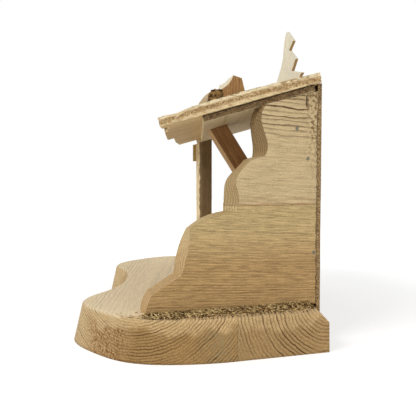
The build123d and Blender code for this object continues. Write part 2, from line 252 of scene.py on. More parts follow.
# Lower wall board
LOWER_TONES = (srgb(184, 150, 100), srgb(126, 90, 50))
LOWER_PITH_OUT = 30 * MM
LOWER_PITH_DROP = 60 * MM
LOWER_RING = 1.9 * MM
LOWER_WAVER = 1.6 * MM
LOWER_CONTRAST = 0.7
LOWER_FIBRE = 0.36
LOWER_END_RINGS = 0.6
LOWER_GREY_HEIGHTS = (62 * MM, 92 * MM)
LOWER_GREY_SHARES = (1.14, 1.3, 1.45)
LOWER_FRONT_SHARES = (1.22, 1.26, 1.36)

# Upper wall board: brown front with its lobe darker as painted shade, rings darker at the top partly as
# painted shade, stains above the seam, broken rear and the dark line before the rail
UPPER_TONES = (srgb(203, 179, 136), srgb(96, 68, 38))
UPPER_PITH_IN = 26 * MM
UPPER_PITH_RISE = 105 * MM
UPPER_RING = 3.0 * MM
UPPER_WAVER = 4 * MM
UPPER_CONTRAST = 1.3
UPPER_FIBRE = 0.24
UPPER_END_RINGS = 0.4
UPPER_TOP_HEIGHTS = (152 * MM, 174 * MM)
UPPER_TOP_RING_SHADE_SHARES = (0.15, 1.3)
UPPER_FOOT_RISE = 12 * MM
UPPER_FOOT_SHARE = 0.8
RISER_SHARES = (0.78, 0.72, 0.62)
LOBE_SHADE_SHARES = (0.5, 0.43, 0.34)
LOBE_START_RISE = 34 * MM
LOBE_FULL_RISE = 42 * MM
SEAM_STAIN = srgb(160, 114, 66)
SEAM_STAIN_SHARE = 0.6
SEAM_SWAY_SIZE = 18 * MM
SEAM_SWAY = 0.6 * MM
SEAM_LINE = (0.2 * MM, 1.4 * MM, 0.5 * MM)
SEAM_UPPER_LINE = (4 * MM, 5 * MM, 0.6 * MM)
SEAM_UPPER_SHARE = 0.5
BROKEN_DEPTHS = (-11 * MM, -5 * MM)
BROKEN_HEIGHTS = (130 * MM, 166 * MM)
BROKEN_SHARES = (0.15, 0.9)
SLOT_DARK = srgb(58, 40, 22)
SLOT_LINE = (-1.3 * MM, -0.2 * MM, 0.3 * MM)
SLOT_START_RISE = 3 * MM
SLOT_END_RISE = 11 * MM
SLOT_FADE = 1 * MM

# Posts, batten, rail and cleat
FRAME_TONES = (srgb(206, 180, 132), srgb(150, 116, 72))
FRAME_PITH_OFFSET = Vector((24 * MM, -30 * MM, 18 * MM))
RAIL_END_SHARE = 0.9
# Light tone raised as painted light on the post, which stands in the roof's shade
POST_TONES = (srgb(236, 214, 172), srgb(150, 116, 72))
POST_PITH_OFFSET = Vector((24 * MM, -30 * MM, 0))
POST_INNER_SHADE_SHARES = (0.24, 0.2, 0.15)
LIT_STRIP_DEPTHS = (3.6 * MM, 4.6 * MM)
LIT_STRIP_SIZE = 9 * MM
LIT_STRIP_RAGGED = 0.8 * MM
CLEAT_TONES = (srgb(206, 178, 112), srgb(150, 120, 68))
CLEAT_PITH_OUT = 12 * MM

# Torn faces of the roof
TEAR_STEP = 2.5 * MM
TEAR_LAYER = 1.5 * MM
TEAR_DEPTH = 1.6 * MM
TEAR_SIZE = 2.4 * MM
TEAR_FINER = 2.3
TEAR_FINER_SHARE = 0.5
TEAR_BIAS = 0.35
TEAR_TINT_GAIN = 1.4
TORN_LEVELS = (0.4, 1.0)
TORN_SHARE = 0.8
TORN_SIZE = FIBRE_SIZE * 2
TORN_TONE_SHARES = (0.55, 1.3)
MERGE = 0.001 * MM
FLAT_ANGLE = math.radians(1.0)

# Roof boards: worn middle and a bright upper rim on the side, part worn edge and part painted highlight,
# paler below
BOARD_TONES = (srgb(218, 194, 150), srgb(174, 140, 94))
BOARD_TORN = srgb(172, 138, 90)
BOARD_CONTRAST = 0.5
PITH_STEP = 9 * MM
PITH_DEPTH = 20 * MM
PITH_DEPTH_STEP = 5 * MM
BOARD_END_TEAR = 1.0
FIRST_SIDE_TEAR = 0.9
OTHER_SIDE_TEAR = 0.4
CHIP_SIZE = 1.15 * MM
WORN_BAND = (3.0 * MM, 6.6 * MM, 0.8 * MM)
WORN_LEVELS = (0.42, 0.56)
WORN_SHARES = (0.35, 1.0)
WORN_TONE = srgb(168, 132, 84)
WORN_TONE_LEVELS = (0.44, 0.62)
WORN_TONE_SHARES = (1.15, 0.4)
RIM_HIGHLIGHT_HEIGHTS = (6.6 * MM, 7.4 * MM)
RIM_HIGHLIGHT_SHARE = 0.7
RIM_HIGHLIGHT_TONE = srgb(236, 220, 184)
BOARD_BELOW_SHARES = (1.1, 1.08, 1.02)

# Roof underlay: painted shadow line under the boards, flecked side lighter toward the eave and darker toward
# the rear as painted light and shade, pale front and underside
UNDERLAY_TONES = (srgb(116, 92, 60), srgb(66, 48, 28))
UNDERLAY_TORN = srgb(84, 62, 38)
UNDERLAY_PITH_DEPTH = 30 * MM
UNDERLAY_SIDE_TEAR = 0.7
UNDERLAY_SHADOW_LINE = (-0.9 * MM, 0.5 * MM, 0.3 * MM)
UNDERLAY_SHADOW_SHARE = 0.3
FLECK_SIZE = 1.3 * MM
FLECK_LEVELS = (0.48, 0.6)
FLECK_SHARES = (1.25, 0.45)
UNDERLAY_SHADE_RUN = (34 * MM, 110 * MM)
UNDERLAY_SHADE_SHARES = (1.25, 0.55)
UNDERLAY_FRONT_COSINES = (-0.4, -0.7)
UNDERLAY_FRONT = srgb(224, 204, 158)
UNDERLAY_BELOW = srgb(216, 199, 160)
BELOW_SIZE = 5 * MM
BELOW_SHARES = (0.92, 1.05)

# Prop, stub, billet and tree
PROP_TONES = (srgb(164, 122, 78), srgb(112, 74, 42))
PROP_PITH_ACROSS = 30 * MM
PROP_RING = 2.2 * MM
PROP_FRONT_LIGHT_COSINES = (0.3, 0.7)
PROP_FRONT_LIGHT_SHARES = (1.5, 1.8, 2.0)
STUB_TONES = (srgb(164, 124, 78), srgb(116, 82, 46))
STUB_CUT = srgb(226, 212, 182)
STUB_CUT_COSINES = (0.55, 0.75)
STUB_PITH_OFFSET = Vector((6 * MM, 40 * MM, 0))
STUB_RING = 2.4 * MM
BILLET_TONES = (srgb(228, 206, 168), srgb(206, 172, 120))
TREE_TONES = (srgb(236, 228, 204), srgb(206, 190, 154))
TREE_TEETH_SHADE = srgb(172, 138, 90)
TREE_TEETH_SHADE_COSINES = (0.5, 0.75)
TREE_PITH_OFFSET = Vector((0, 60 * MM, 0))
TREE_FIBRE = 0.12

# Back panel of fibreboard
PANEL_SPECK_SIZE = 1.1 * MM
PANEL_SPECK_LEVELS = (0.4, 0.6)
PANEL_LAYER_SIZE = 6 * MM
PANEL_LAYER_STRETCH = (1, 9, 1)
PANEL_LAYER_SHARES = (0.85, 1.1)
PANEL_BROAD_SIZE = 70 * MM
PANEL_BROAD_SHARE = 0.06
PANEL_EDGE_TONES = (srgb(96, 70, 42), srgb(184, 154, 108))
PANEL_FACE_TONES = (srgb(130, 102, 66), srgb(154, 124, 84))
PANEL_ROUGHNESS = (0.85, 0.65)
PANEL_ARRIS = ARRIS / 2

# Nails
STEEL_MARK_SIZE = 0.5 * MM
STEEL_TONES = (srgb(62, 62, 54), srgb(124, 120, 104))
STEEL_ROUGHNESS = (0.55, 0.35)
STEEL_SPECULAR = 0.5
STEEL_METALLIC = 0.9
STEEL_ARRIS = ARRIS / 3
STEEL_BUMP = BUMP_DEPTH / 5

# Bark
BARK_RINGS = 36
BARK_SIDES = 56
BARK_HALF_RUN = 6.6 * MM
BARK_HALF_RISE = 4.8 * MM
BARK_LUMP = 1.0 * MM
BARK_LUMP_SIZE = 3.0 * MM
BARK_LUMP_OCTAVES = 3
BARK_LUMP_LEVEL = 0.9
BARK_STRETCH = (0.5, 1, 1)
BARK_RIDGE_SIZE = 2.4 * MM
BARK_RIDGE_LEVELS = (0.4, 0.62)
BARK_FLAKE_SIZE = 0.9 * MM
BARK_FLAKE_LEVELS = (0.6, 0.72)
BARK_SHADE_LEVELS = (0.25, 0.6)
BARK_SHADE_SHARES = (0.6, 1.1)
BARK_HOLLOW = srgb(44, 29, 15)
BARK_RIDGE = srgb(150, 116, 70)
BARK_FLAKE = srgb(186, 152, 98)
BARK_ROUGHNESS = (0.95, 0.75)
BARK_SPECULAR = 0.1
BARK_BUMP = 1.0 * MM

# Glue at the head of the front post
GLUE_OVERLAP = 1.5 * MM
GLUE_SHARE = 0.42
GLUE_RISE_SHARE = 0.62
GLUE_POWER = 0.6
GLUE_SPLITS = 4
GLUE_LUMP_SHARES = (0.9, 0.22)
GLUE_LUMP_PITCH = 1.7
GLUE_CLOUD_SIZE = 2.5 * MM
GLUE_CLOUD_LEVELS = (0.35, 0.65)
GLUE_TONES = (srgb(206, 184, 140), srgb(242, 232, 208))
GLUE_ROUGHNESS = (0.55, 0.35)
GLUE_SPECULAR = 0.4

# Bed of crumbs along the wall's foot
BED_WIDTH = 15.0 * MM
BED_WIDTH_SHARES = (0.55, 0.6)
BED_WIDTH_SIZE = 6 * MM
BED_WIDTH_STEP = 0.5 * MM
BED_LEAST_WIDTH = 1.0 * MM
BED_HEIGHT = 2.2 * MM
BED_HEIGHT_SHARE = 0.6
BED_LUMP_SHARE = 0.5
BED_LUMP_SIZE = 2.2 * MM
BED_SWELL_SHARE = 0.4
BED_SWELL_SIZE = 8 * MM
BED_LEAST_SHARE = 0.1
BED_TONE = 0.2
BED_TONE_SHARE = 0.5
BED_TONE_BIAS = 0.2
BED_TONE_SIZE = 1.3 * MM
BED_SINK = 0.3 * MM
BED_TAPER = 6
BED_STEPS = 140
BED_LANES = 7

# Straw and crumbs thrown on the bed, and a sprinkle of bits before the wall's toe
CHAFF_SEED = 11
CHAFF_PROBE = 10 * MM
CHAFF_SLACK = 0.1 * MM
CHAFF_REACH = 9 * MM
CHAFF_GAP = 1.0 * MM
CHAFF_RISE_SHARES = (0.2, 1.1)
CHAFF_RUN_SHARES = (-0.02, 1)
CRUMB_COUNT = 2000
CRUMB_LENGTHS = (0.8 * MM, 2.0 * MM)
CRUMB_WIDTHS = (0.6 * MM, 1.3 * MM)
CRUMB_LIFT = 0.6
CRUMB_TONES = (0.0, 0.42)
STRAW_COUNT = 700
STRAW_LENGTHS = (2.0 * MM, 7.5 * MM)
STRAW_WIDTHS = (0.5 * MM, 0.9 * MM)
STRAW_LIFT = 0.5
STRAW_TONES = (0.55, 1.0)
SPRINKLE_COUNT = 130
SPRINKLE_RUN = (-34 * MM, 10 * MM)
SPRINKLE_OUT = (-14 * MM, 8 * MM)
SPRINKLE_LENGTHS = (1.0 * MM, 3.5 * MM)
SPRINKLE_WIDTHS = (0.3 * MM, 0.6 * MM)
SPRINKLE_LIFT = 0.05
SPRINKLE_TONES = (0.3, 0.9)
TONE_MIDDLE = 0.5
CHAFF_DARK = srgb(44, 28, 14)
CHAFF_BROWN = srgb(150, 116, 68)
CHAFF_PALE = srgb(240, 214, 154)
CHAFF_GRIT_SIZE = GRIT_SIZE * 2
CHAFF_GRIT_SHARES = (0.7, 1.2)
CHAFF_ROUGHNESS = 0.8
CHAFF_SPECULAR = 0.15


class Shader:
    """One node tree of a material or a world, with a short call for each kind of node."""

    def __init__(self, block):
        block.use_nodes = True
        self.block = block
        self.tree = block.node_tree
        self.tree.nodes.clear()

    def feed(self, socket, value):
        """Links an output to the socket, or sets a plain value on it."""
        if isinstance(value, bpy.types.NodeSocket):
            self.tree.links.new(value, socket)
        else:
            socket.default_value = value

    def node(self, kind, inputs=None, **settings):
        made = self.tree.nodes.new("ShaderNode" + kind)
        for key, value in settings.items():
            setattr(made, key, value)
        for key, value in (inputs or {}).items():
            self.feed(made.inputs[key], value)
        return made

    def place(self):
        """The point's place in its object's frame."""
        return self.node("TexCoord").outputs["Object"]

    def normal(self):
        return self.node("NewGeometry").outputs["Normal"]

    def rounded(self, radius, samples):
        """Normal of the surface as if its edges were rounded."""
        return self.node("Bevel", {"Radius": radius}, samples=samples).outputs[0]

    def axes(self, place):
        return self.node("SeparateXYZ", {0: place}).outputs

    def attribute(self, name):
        return self.node("Attribute", attribute_name=name).outputs["Fac"]

    def seen(self):
        """One for what the camera, a reflection or a clear body shows, else zero."""
        path = self.node("LightPath").outputs
        glass = self.math("MAXIMUM", path["Is Glossy Ray"], path["Is Transmission Ray"])
        return self.math("MAXIMUM", path["Is Camera Ray"], glass)

    def math(self, operation, first, second=0.0):
        return self.node("Math", {0: first, 1: second}, operation=operation).outputs[0]

    def plus(self, first, second):
        return self.math("ADD", first, second)

    def times(self, first, second):
        return self.math("MULTIPLY", first, second)

    def centred(self, share):
        """A share counted from one half."""
        return self.math("SUBTRACT", share, 0.5)

    def vector(self, operation, first, second):
        return self.node("VectorMath", {0: first, 1: second}, operation=operation).outputs[0]

    def tinted(self, colour, shares):
        return self.vector("MULTIPLY", colour, shares)

    def stretched(self, place, share):
        """A place whose grain axis counts only for a share."""
        return self.vector("MULTIPLY", place, (1, 1, share))

    def dot(self, first, second):
        return self.node("VectorMath", {0: first, 1: second}, operation="DOT_PRODUCT").outputs["Value"]

    def length(self, vector):
        return self.node("VectorMath", {0: vector}, operation="LENGTH").outputs["Value"]

    def scaled(self, colour, amount):
        if isinstance(colour, tuple):
            colour = colour[:3]
        return self.node("VectorMath", {0: colour, "Scale": amount}, operation="SCALE").outputs[0]

    def noise(self, vector, size, detail=SOME, roughness=EVEN):
        inputs = {"Vector": vector, "Scale": 1 / size, "Detail": detail, "Roughness": roughness}
        return self.node("TexNoise", inputs).outputs["Fac"]

    def spread(self, value, low, high, start=0.0, end=1.0):
        """Takes a value from one range to another, clamped."""
        inputs = {"Value": value, "From Min": low, "From Max": high, "To Min": start, "To Max": end}
        return self.node("MapRange", inputs).outputs[0]

    def blend(self, share, start, end):
        """Goes from one value to another as a share goes from zero to one."""
        return self.spread(share, 0, 1, start, end)

    def vary(self, value, start=0.0, end=1.0):
        """Takes a noise's usual range to another one."""
        return self.spread(value, NOISE_LOW, NOISE_HIGH, start, end)

    def jitter(self, vector, size, reach):
        """Soft noise to either side of zero."""
        return self.vary(self.noise(vector, size, FEW), -reach, reach)

    def facing(self, normal, direction, cosines, start=0.0, end=1.0):
        """How much a face looks along a direction."""
        return self.spread(self.dot(normal, direction), *cosines, start, end)

    def along(self, place, origin, direction):
        """Distance of a place from an origin, counted along a direction."""
        return self.dot(self.vector("SUBTRACT", place, origin), direction)

    def band(self, value, low, high, soft):
        """One between two levels, fading to zero outside them."""
        rise = self.spread(value, low - soft, low + soft)
        return self.times(rise, self.spread(value, high + soft, high - soft))

    def ramp(self, factor, stops):
        made = self.node("ValToRGB", {"Fac": factor})
        elements = made.color_ramp.elements
        while len(elements) < len(stops):
            elements.new(1.0)
        for element, (place, level) in zip(elements, stops):
            element.position = place
            element.color = (level, level, level, 1.0)
        return made.outputs["Color"]

    def mix(self, factor, first, second):
        made = self.node("Mix", data_type="RGBA")
        self.feed(made.inputs[MIX_FACTOR], factor)
        self.feed(made.inputs[MIX_FIRST], first)
        self.feed(made.inputs[MIX_SECOND], second)
        return made.outputs[MIX_RESULT]

    def finish(self, colour, roughness, height, depth, normal, specular=0.2, metallic=0.0):
        """Bump, surface and output."""
        bump = self.node("Bump", {"Height": height, "Distance": depth, "Normal": normal})
        inputs = {"Base Color": colour, "Roughness": roughness, "Normal": bump.outputs[0]}
        shine = {"Metallic": metallic, "Specular IOR Level": specular}
        surface = self.node("BsdfPrincipled", inputs | shine)
        self.node("OutputMaterial", {"Surface": surface.outputs[0]})
        return self.block


def new_shader(name):
    return Shader(bpy.data.materials.new(name))


def wood(
    name,
    tones,
    grain,
    pith,
    ring=RING_GAP,
    waver=RING_WAVER,
    contrast=0.7,
    fibre=0.3,
    end_tone=0.88,
    end_rings=1.0,
    edge=0.2,
    arris=ARRIS,
    strength=None,
    tint=None,
    torn_tone=None,
):
    """Wood of a light and a dark tone: rings about a pith line and fibres along the grain."""
    s = new_shader(name)
    place = s.place()
    normal = s.normal()
    turn = grain.to_track_quat("Z", "Y").to_euler()
    inputs = {"Vector": place, "Location": pith, "Rotation": turn}
    local = s.node("Mapping", inputs, vector_type="TEXTURE").outputs[0]
    drawn = s.stretched(local, ALONG_SHARE)
    swerve = s.times(s.centred(s.noise(drawn, WAVER_SIZE)), waver * 2)
    waved = s.stretched(local, RIPPLE_SHARE)
    ripple = s.times(s.centred(s.noise(waved, RIPPLE_SIZE)), waver)
    radius = s.length(s.stretched(local, 0))
    count = s.math("DIVIDE", s.plus(radius, s.plus(swerve, ripple)), ring)
    within = s.math("FRACT", count)
    each = s.node("TexWhiteNoise", {"W": s.math("FLOOR", count)}, noise_dimensions="1D").outputs["Value"]
    late = s.times(s.ramp(within, RING_STOPS), s.blend(each, FAINT_RING_SHARE * contrast, contrast))
    late = s.times(late, s.spread(s.noise(drawn, PATCH_SIZE, FEW), *PATCH_LEVELS, *PATCH_SHARES))
    if strength:
        late = s.times(late, strength(s, place))
    ends = s.spread(s.math("ABSOLUTE", s.dot(normal, grain)), *END_COSINES)
    late = s.times(late, s.blend(ends, 1, end_rings))
    dashes = s.stretched(local, FIBRE_SHARE)
    fibres = s.noise(dashes, FIBRE_SIZE, SOME, ROUGH)
    pores = s.spread(s.noise(dashes, PORE_SIZE, FEW), *PORE_LEVELS, 1, 1 - fibre * PORE_SHARE)
    shade = s.plus(s.vary(fibres, 1 - fibre, 1 + fibre), s.jitter(drawn, BROAD_SIZE, BROAD_SHARE))
    shade = s.times(s.plus(shade, s.jitter(place, GRIT_SIZE, GRIT_SHARE)), pores)
    colour = s.scaled(s.mix(late, *tones), shade)
    colour = s.scaled(colour, s.blend(ends, 1, end_tone))
    rounded = s.rounded(arris, BEVEL_SAMPLES)
    if tint:
        colour = tint(s, place, rounded, colour)
    # Rounded edges lighter by the edge share, part wear and part painted highlight; a share below zero
    # darkens them.
    edge_wear_and_highlight = s.facing(rounded, normal, CORNER_COSINES)
    colour = s.scaled(colour, s.blend(edge_wear_and_highlight, 1, 1 + edge))
    height = s.plus(s.times(late, LATE_RELIEF_SHARE), fibres)
    if torn_tone:
        torn = s.attribute("torn")
        crumbs = s.noise(place, TORN_SIZE, MANY, ROUGH)
        ragged = s.scaled(torn_tone, s.vary(crumbs, *TORN_TONE_SHARES))
        colour = s.mix(s.spread(torn, *TORN_LEVELS, 0, TORN_SHARE), colour, ragged)
        height = s.plus(height, s.times(torn, crumbs))
    gloss = s.spread(fibres, *GLOSS_LEVELS, *WOOD_ROUGHNESS)
    return s.finish(colour, gloss, height, BUMP_DEPTH, rounded)


def bark():
    """Dark ridged bark with pale flecks."""
    s = new_shader("bark")
    drawn = s.vector("MULTIPLY", s.place(), BARK_STRETCH)
    ridges = s.noise(drawn, BARK_RIDGE_SIZE, MANY, RIDGED)
    flakes = s.noise(drawn, BARK_FLAKE_SIZE, SOME, ROUGH)
    tone = s.mix(s.spread(ridges, *BARK_RIDGE_LEVELS), BARK_HOLLOW, BARK_RIDGE)
    tone = s.mix(s.spread(flakes, *BARK_FLAKE_LEVELS), tone, BARK_FLAKE)
    colour = s.scaled(tone, s.spread(flakes, *BARK_SHADE_LEVELS, *BARK_SHADE_SHARES))
    gloss = s.spread(flakes, *GLOSS_LEVELS, *BARK_ROUGHNESS)
    return s.finish(colour, gloss, ridges, BARK_BUMP, s.normal(), BARK_SPECULAR)


def fibreboard():
    """Thin pressed board: brown, smooth on its faces, crumbly and layered on its edges."""
    s = new_shader("fibreboard")
    place = s.place()
    specks = s.noise(place, PANEL_SPECK_SIZE, MANY, ROUGH)
    layers = s.noise(s.vector("MULTIPLY", place, PANEL_LAYER_STRETCH), PANEL_LAYER_SIZE)
    fleck = s.spread(specks, *PANEL_SPECK_LEVELS)
    flat = s.spread(s.math("ABSOLUTE", s.dot(s.normal(), FRONTWARD)), *LOOKS_STRAIGHT)
    crumbly = s.mix(fleck, *PANEL_EDGE_TONES)
    pressed = s.mix(fleck, *PANEL_FACE_TONES)
    broad = s.jitter(place, PANEL_BROAD_SIZE, PANEL_BROAD_SHARE)
    shade = s.plus(s.vary(layers, *PANEL_LAYER_SHARES), broad)
    colour = s.scaled(s.mix(flat, crumbly, pressed), shade)
    gloss = s.spread(specks, *GLOSS_LEVELS, *PANEL_ROUGHNESS)
    return s.finish(colour, gloss, specks, BUMP_DEPTH, s.rounded(PANEL_ARRIS, FINE_BEVEL_SAMPLES))


def steel():
    """Dull, dark nail steel."""
    s = new_shader("nail_steel")
    marks = s.noise(s.place(), STEEL_MARK_SIZE)
    colour = s.mix(s.vary(marks), *STEEL_TONES)
    gloss = s.vary(marks, *STEEL_ROUGHNESS)
    rounded = s.rounded(STEEL_ARRIS, FINE_BEVEL_SAMPLES)
    return s.finish(colour, gloss, marks, STEEL_BUMP, rounded, STEEL_SPECULAR, STEEL_METALLIC)


def glue():
    """Hardened glue: pale, cloudy and a little glossy."""
    s = new_shader("glue")
    clouds = s.noise(s.place(), GLUE_CLOUD_SIZE)
    colour = s.mix(s.spread(clouds, *GLUE_CLOUD_LEVELS), *GLUE_TONES)
    return s.finish(colour, s.vary(clouds, *GLUE_ROUGHNESS), clouds, BUMP_DEPTH, s.normal(), GLUE_SPECULAR)


def chaff_straw():
    """Dry straw and brown crumbs, each bit with a tone of its own."""
    s = new_shader("chaff_straw")
    tone = s.attribute("tone")
    grit = s.noise(s.place(), CHAFF_GRIT_SIZE)
    colour = s.mix(s.spread(tone, 0, TONE_MIDDLE), CHAFF_DARK, CHAFF_BROWN)
    colour = s.mix(s.spread(tone, TONE_MIDDLE, 1), colour, CHAFF_PALE)
    colour = s.scaled(colour, s.vary(grit, *CHAFF_GRIT_SHARES))
    return s.finish(colour, CHAFF_ROUGHNESS, grit, GRIT_SIZE, s.normal(), CHAFF_SPECULAR)


def dress(name, material):
    """Gives a CAD node its material."""
    slots = nodes[name].data.materials
    slots.clear()
    slots.append(material)


def add_piece(name, mesh, material):
    """Puts a new mesh in the scene, on the part's one body."""
    mesh.materials.clear()
    mesh.materials.append(material)
    piece = bpy.data.objects.new(name, mesh)
    bpy.context.scene.collection.objects.link(piece)
    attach(piece, "root")
    return piece


def middle(name):
    low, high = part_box(name)
    return (low + high) / 2


def slope_cuts(low, high, foot, thick):
    """Where a sheet of the roof is cut along the slope and through its thickness."""
    steps = math.ceil((high.y - low.y) / SLOPE_RUN.y / TEAR_STEP)
    layers = math.ceil(thick / TEAR_LAYER)
    eave = Vector((0, low.y, low.z))
    return [(eave, SLOPE_RUN, TEAR_STEP, steps), (foot, SLOPE_OUT, TEAR_LAYER, layers)]


def tear(name, material, cuts, end_tear, side_tear):
    """A board's copy, cut into small facets and torn at its eave and side, standing for the node."""
    solid = bmesh.new()
    solid.from_mesh(nodes[name].data)
    bmesh.ops.remove_doubles(solid, verts=solid.verts, dist=MERGE)
    bmesh.ops.dissolve_limit(solid, angle_limit=FLAT_ANGLE, verts=solid.verts, edges=solid.edges)
    for origin, direction, step, steps in cuts:
        for index in range(1, steps):
            everything = solid.verts[:] + solid.edges[:] + solid.faces[:]
            spot = origin + direction * step * index
            bmesh.ops.bisect_plane(solid, geom=everything, plane_co=spot, plane_no=direction)
    solid.normal_update()
    torn = solid.verts.layers.float.new("torn")
    moves = []
    for vert in solid.verts:
        end = max(0.0, -vert.normal.dot(SLOPE_RUN)) * end_tear
        side = max(0.0, vert.normal.x) * side_tear
        grain = vert.co / TEAR_SIZE
        rough = noise.noise(grain) + noise.noise(grain * TEAR_FINER) * TEAR_FINER_SHARE
        depth = max(0.0, rough + TEAR_BIAS) * max(end, side)
        vert[torn] = min(1.0, depth * TEAR_TINT_GAIN)
        moves.append((vert, vert.normal * depth * TEAR_DEPTH))
    for vert, move in moves:
        vert.co -= move
    mesh = bpy.data.meshes.new(name + "_torn")
    solid.to_mesh(mesh)
    solid.free()
    stale = mesh.attributes.get("custom_normal")
    if stale:
        mesh.attributes.remove(stale)
    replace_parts(add_piece(name + "_torn", mesh, material), name)


def make_bark_pole():
    """Lumpy bark-covered stick, lying where the solid lies."""
    low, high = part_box("bark_pole")
    heart = (low + high) / 2
    points = []
    for ring in range(BARK_RINGS + 1):
        place = low.x + (high.x - low.x) * ring / BARK_RINGS
        for side in range(BARK_SIDES):
            turn = side / BARK_SIDES * math.tau
            spoke = SLOPE_RUN * math.cos(turn) * BARK_HALF_RUN + SLOPE_OUT * math.sin(turn) * BARK_HALF_RISE
            spot = Vector((place, heart.y, heart.z)) + spoke
            lump = noise.turbulence(spot / BARK_LUMP_SIZE, BARK_LUMP_OCTAVES, False) - BARK_LUMP_LEVEL
            points.append(spot + spoke.normalized() * min(lump, 0.0) * BARK_LUMP)
    faces = []
    for ring in range(BARK_RINGS):
        for side in range(BARK_SIDES):
            after = (side + 1) % BARK_SIDES
            start = ring * BARK_SIDES
            up = start + BARK_SIDES
            faces.append((start + side, start + after, up + after, up + side))
    for ring, step in ((0, -1), (BARK_RINGS, 1)):
        centre = len(points)
        rim = [ring * BARK_SIDES + side for side in range(BARK_SIDES)]
        points.append(sum((points[spot] for spot in rim), Vector()) / BARK_SIDES)
        for side in range(BARK_SIDES):
            pair = (rim[side], rim[(side + 1) % BARK_SIDES])
            faces.append((*pair[::step], centre))
    mesh = bpy.data.meshes.new("bark_stick")
    mesh.from_pydata(points, [], faces)
    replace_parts(add_piece("bark_stick", mesh, bark()), "bark_pole")


def make_post_glue():
    """Lumpy bead between the head of the front post and the roof boards above it."""
    rear = UNDERLAY_LOW.y + GLUE_OVERLAP
    heart = Vector(((POST_LOW.x + POST_HIGH.x) / 2, (POST_LOW.y + rear) / 2, 0))
    rise = (heart.y - BOARD_FOOT.y) * math.tan(ROOF_PITCH)
    heart.z = BOARD_FOOT.z + rise - UNDERLAY_THICK / 2
    across = (POST_HIGH.x - POST_LOW.x) * GLUE_SHARE
    reach = Vector((across, (rear - POST_LOW.y) / 2, UNDERLAY_THICK * GLUE_RISE_SHARE))
    plain, lumpy = GLUE_LUMP_SHARES
    bead = bmesh.new()
    bmesh.ops.create_icosphere(bead, subdivisions=GLUE_SPLITS, radius=1.0)
    for vert in bead.verts:
        lump = plain + lumpy * noise.noise(vert.co * GLUE_LUMP_PITCH)
        squared = Vector([math.copysign(abs(share) ** GLUE_POWER, share) for share in vert.co])
        vert.co = heart + squared * reach * lump
    for face in bead.faces:
        face.smooth = True
    mesh = bpy.data.meshes.new("post_glue")
    bead.to_mesh(mesh)
    bead.free()
    add_piece("post_glue", mesh, glue())


